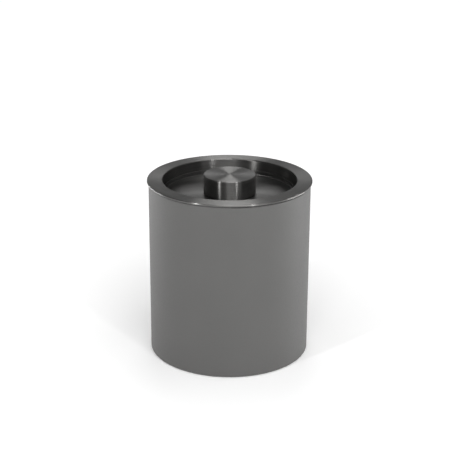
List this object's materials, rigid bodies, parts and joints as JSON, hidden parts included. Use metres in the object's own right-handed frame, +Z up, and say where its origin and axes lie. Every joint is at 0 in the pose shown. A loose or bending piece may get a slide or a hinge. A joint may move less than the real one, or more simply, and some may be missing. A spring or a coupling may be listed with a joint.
{
  "type": "ice bucket",
  "caption": "Round double-walled insulated ice bucket with a flat metal rim and a recessed lift-off lid with a puck-shaped knob.",
  "frame": {"origin": "centre of the base, on the surface that the foot ring stands on", "axes": "+Z up along the bucket's axis, -Y towards the viewer; the bucket is round, so X and Y have no front"},
  "size_m": [0.165, 0.165, 0.185],
  "materials": {
    "shell_coating": "matte",
    "gunmetal_rim": "satin",
    "gunmetal_lid": "satin",
    "gunmetal_knob": "satin",
    "liner_steel": "satin",
    "underpan_steel": "satin",
    "fastener_steel": "satin",
    "black_silicone": "matte",
    "foot_silicone": "matte",
    "base_plastic": "matte",
    "sleeve_plastic": "matte",
    "white_foam": "matte"
  },
  "bodies": {
    "bucket": {"outer_shell": "shell_coating", "rim_ring": "gunmetal_rim", "rim_gasket": "black_silicone", "inner_liner": "liner_steel", "liner_gasket": "black_silicone", "insulation_sleeve": "white_foam", "base_insulation": "white_foam", "base_plate": "base_plastic", "foot_ring": "foot_silicone", "liner_stud": "fastener_steel", "base_washer": "fastener_steel", "base_nut": "fastener_steel"},
    "lid": {"lid_pan": "gunmetal_lid", "lid_underpan": "underpan_steel", "lid_insulation": "white_foam", "lid_gasket": "black_silicone", "lid_knob": "gunmetal_knob", "knob_washer": "black_silicone", "knob_screw": "fastener_steel", "screw_seal": "black_silicone", "screw_washer": "fastener_steel", "spacer_sleeve": "sleeve_plastic"}
  },
  "joints": [
    {"name": "lid_lift", "type": "slide", "parent": "bucket", "child": "lid", "axis": [0, 0, 1], "range_m": [0, 0.08]}
  ]
}
